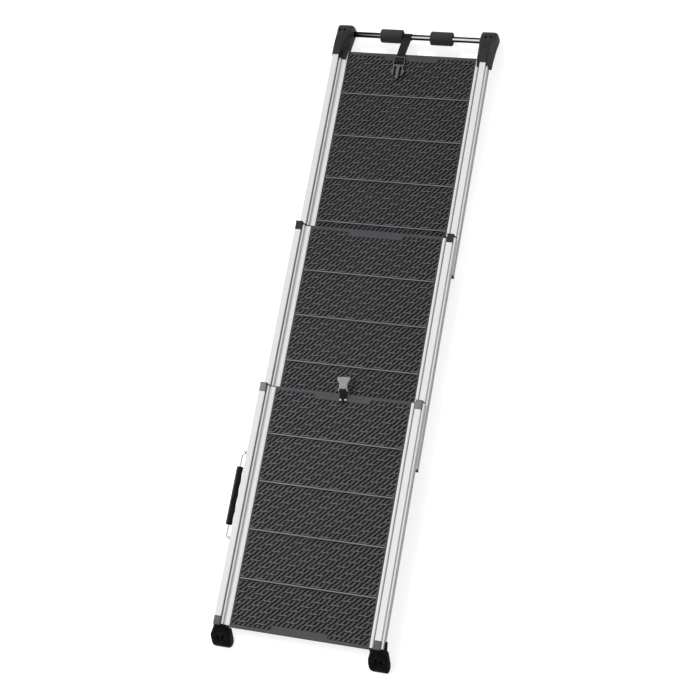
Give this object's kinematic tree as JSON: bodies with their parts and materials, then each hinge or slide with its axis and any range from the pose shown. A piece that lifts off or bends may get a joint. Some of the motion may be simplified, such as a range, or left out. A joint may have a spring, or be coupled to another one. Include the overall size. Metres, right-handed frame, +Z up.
{
  "type": "folding dog ramp",
  "caption": "Telescoping pet ramp: sliding treads between T headed side rails, with a padded handlebar, buckle strap, carry handle and feet.",
  "frame": {"origin": "centre of the bounding box's underside, with the ramp drawn out", "axes": "+Z up out of the treads, +Y up the ramp from the feet to the handlebar, +X to the right seen from the feet"},
  "size_m": [0.5023, 1.8095, 0.1351],
  "materials": {
    "rail": "satin anodised extrusion",
    "tread": "moulded with raised texture",
    "bar_cap": "satin moulding",
    "end_cap": "satin moulding",
    "foot": "matt moulded rubber",
    "tube": "gloss black",
    "sleeve": "matt foam rubber",
    "webbing": "woven webbing",
    "plug": "moulded acetal",
    "socket": "moulded acetal",
    "rivet": "bright plated",
    "bracket": "brushed",
    "grip": "moulded grip"
  },
  "bodies": {
    "bottom_section": {"bottom_rail_left": "rail", "bottom_rail_right": "rail", "bottom_tread": "tread", "bottom_rail_cap_left": "bar_cap", "bottom_rail_cap_right": "bar_cap", "bottom_bar_cap_left": "bar_cap", "bottom_bar_cap_right": "bar_cap", "foot_left": "foot", "foot_right": "foot", "buckle_socket": "socket", "socket_webbing": "webbing", "socket_rivet_left": "rivet", "socket_rivet_right": "rivet", "handle_bracket": "bracket", "handle_screw_upper": "rivet", "handle_screw_lower": "rivet"},
    "middle_section": {"middle_rail_left": "rail", "middle_rail_right": "rail", "middle_tread": "tread", "middle_rail_cap_left": "bar_cap", "middle_rail_cap_right": "bar_cap", "middle_rail_stop_left": "end_cap", "middle_rail_stop_right": "end_cap"},
    "top_section": {"top_rail_left": "rail", "top_rail_right": "rail", "top_tread": "tread", "top_rail_stop_left": "end_cap", "top_rail_stop_right": "end_cap", "handlebar_bracket_left": "end_cap", "handlebar_bracket_right": "end_cap", "handlebar": "tube", "sleeve_left": "sleeve", "sleeve_right": "sleeve"},
    "strap_loop": {"strap": "webbing", "buckle_plug": "plug"},
    "carry_handle": {"carry_bail": "bracket", "carry_grip": "grip"}
  },
  "joints": [
    {"name": "middle_slide", "type": "slide", "parent": "bottom_section", "child": "middle_section", "axis": [0, 1, 0], "range_m": [-0.468, 0]},
    {"name": "top_slide", "type": "slide", "parent": "middle_section", "child": "top_section", "axis": [0, 1, 0], "range_m": [-0.518, 0]},
    {"name": "strap_swing", "type": "hinge", "parent": "top_section", "child": "strap_loop", "pos_m": [-0.01615, 0.88075, 0.022], "axis": [-1, 0, 0], "range_deg": [0, 165]},
    {"name": "bail_swing", "type": "hinge", "parent": "bottom_section", "child": "carry_handle", "pos_m": [-0.22564, -0.51125, 0.1005], "axis": [0, 1, 0], "range_deg": [-28, 110]}
  ]
}
